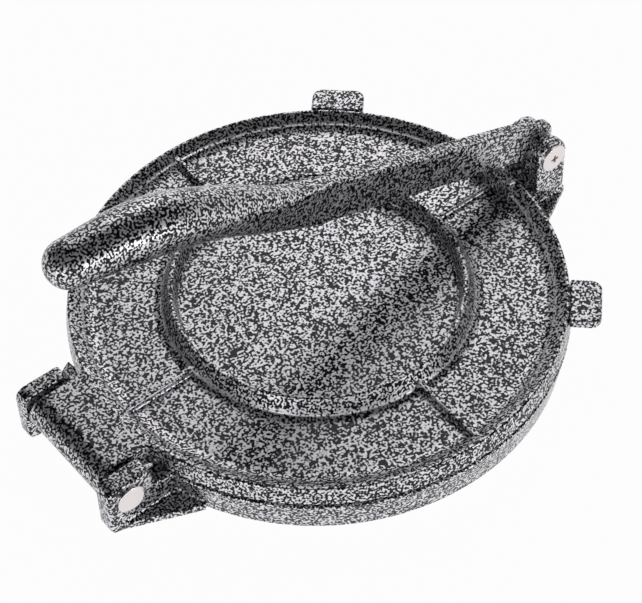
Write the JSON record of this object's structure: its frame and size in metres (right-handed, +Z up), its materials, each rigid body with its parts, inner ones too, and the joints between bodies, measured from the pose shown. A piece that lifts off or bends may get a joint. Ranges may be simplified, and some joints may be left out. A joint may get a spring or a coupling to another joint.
{
  "type": "tortilla press",
  "caption": "Round hand press: two hinged cast plates, closed by a cast lever that pivots in a clevis on the lower plate.",
  "frame": {"origin": "centre of the lower plate's round underside, on the surface it stands on", "axes": "+Z up; +X from the plate hinge towards the lever's clevis; +Y to the left when looking along +X"},
  "size_m": [0.2002, 0.1616, 0.1],
  "materials": {
    "hammertone_base": "glossy silver and black hammertone stoving enamel over a casting",
    "hammertone_plate": "glossy silver and black hammertone stoving enamel over a casting",
    "hammertone_handle": "glossy silver and black hammertone stoving enamel over a casting",
    "pin_steel": "bright nickel-plated steel"
  },
  "bodies": {
    "lower_plate": {"base": "hammertone_base", "hinge_pin": "pin_steel", "hinge_pin_screw": "pin_steel", "handle_pin": "pin_steel", "handle_pin_screw": "pin_steel"},
    "upper_plate": {"top_plate": "hammertone_plate"},
    "lever": {"handle": "hammertone_handle"}
  },
  "joints": [
    {"name": "handle_pivot", "type": "hinge", "parent": "lower_plate", "child": "lever", "pos_m": [0.0938, 0, 0.0223], "axis": [0, 1, 0], "range_deg": [0, 160]},
    {"name": "plate_hinge", "type": "hinge", "parent": "lower_plate", "child": "upper_plate", "pos_m": [-0.0918, 0, 0.0132], "axis": [0, -1, 0], "range_deg": [0, 17.6]}
  ],
  "couplings": [
    {"joint": "plate_hinge", "follows": "handle_pivot", "ratio": 0.11}
  ]
}
